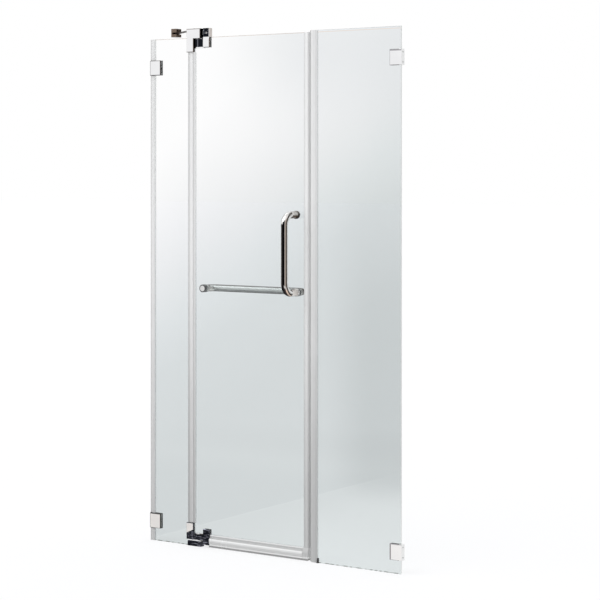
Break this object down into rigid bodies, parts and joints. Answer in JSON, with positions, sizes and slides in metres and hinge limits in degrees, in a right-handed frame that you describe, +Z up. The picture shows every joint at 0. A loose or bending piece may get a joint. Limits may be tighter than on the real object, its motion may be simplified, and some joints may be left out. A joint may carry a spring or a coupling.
{
  "type": "pivot shower door",
  "caption": "Frameless glass pivot shower door between fixed side panels, with chrome wall clamps, corner pivots, a pull handle, an inside towel bar and a top brace",
  "frame": {"origin": "on the pivot axis at floor level, in the middle of the glass's thickness", "axes": "+X to the right along the glass seen from outside, +Y into the shower, +Z up along the pivot axis"},
  "size_m": [1.067, 0.2375, 1.87],
  "materials": {
    "clear_glass": "clear tempered glass, 8 mm, with ground edges",
    "chrome": "bright polished chrome",
    "steel": "stainless fasteners and pins",
    "clear_seal": "clear extruded vinyl",
    "clear_pad": "clear soft pads and washers",
    "frosted_plastic": "moulded translucent end piece",
    "white_nylon": "moulded nylon",
    "black_rubber": "moulded rubber"
  },
  "bodies": {
    "frame": {"left_panel_glass": "clear_glass", "right_panel_glass": "clear_glass", "upper_left_clamp_base": "chrome", "upper_left_clamp_cover": "chrome", "upper_right_clamp_base": "chrome", "upper_right_clamp_cover": "chrome", "lower_left_clamp_base": "chrome", "lower_left_clamp_cover": "chrome", "lower_right_clamp_base": "chrome", "lower_right_clamp_cover": "chrome", "wall_clamp_gaskets": "clear_pad", "wall_clamp_screws": "steel", "left_wall_seal_lower": "clear_seal", "left_wall_seal_middle": "clear_seal", "left_wall_seal_upper": "clear_seal", "left_panel_edge_seal": "clear_seal", "right_panel_strike_seal": "clear_seal", "right_panel_foot_wedge": "black_rubber", "top_hinge_fixed_body": "chrome", "top_hinge_fixed_cover": "chrome", "top_pivot_pin": "steel", "bottom_hinge_fixed_body": "chrome", "bottom_hinge_fixed_cover": "chrome", "bottom_pivot_base": "chrome", "bottom_pivot_pin": "steel", "bottom_bearing_plate": "white_nylon", "fixed_hinge_gaskets": "clear_pad", "fixed_hinge_screws": "steel", "pivot_base_screw": "steel", "brace_wall_bracket": "chrome", "brace_rod": "chrome", "brace_bracket_pin": "steel", "brace_hinge_lug": "chrome", "brace_lug_screw": "steel", "brace_eye_screw": "steel"},
    "door": {"door_glass": "clear_glass", "door_heel_seal": "clear_seal", "door_strike_seal": "clear_seal", "door_drip_seal": "clear_seal", "drip_seal_end_block": "frosted_plastic", "top_hinge_door_body": "chrome", "top_hinge_door_cover": "chrome", "bottom_hinge_door_body": "chrome", "bottom_hinge_door_cover": "chrome", "top_pivot_bush": "white_nylon", "bottom_pivot_bush": "white_nylon", "hinge_adjusting_screw": "steel", "door_hinge_gaskets": "clear_pad", "door_hinge_screws": "steel", "pull_handle": "chrome", "towel_bar": "chrome", "mount_rosettes": "chrome", "tube_end_plugs": "steel", "mount_caps": "chrome", "mount_washers": "clear_pad", "through_studs": "steel"}
  },
  "joints": [
    {"name": "door_swing", "type": "hinge", "parent": "frame", "child": "door", "pos_m": [0, 0, 0], "axis": [0, 0, -1], "range_deg": [0, 100]}
  ]
}
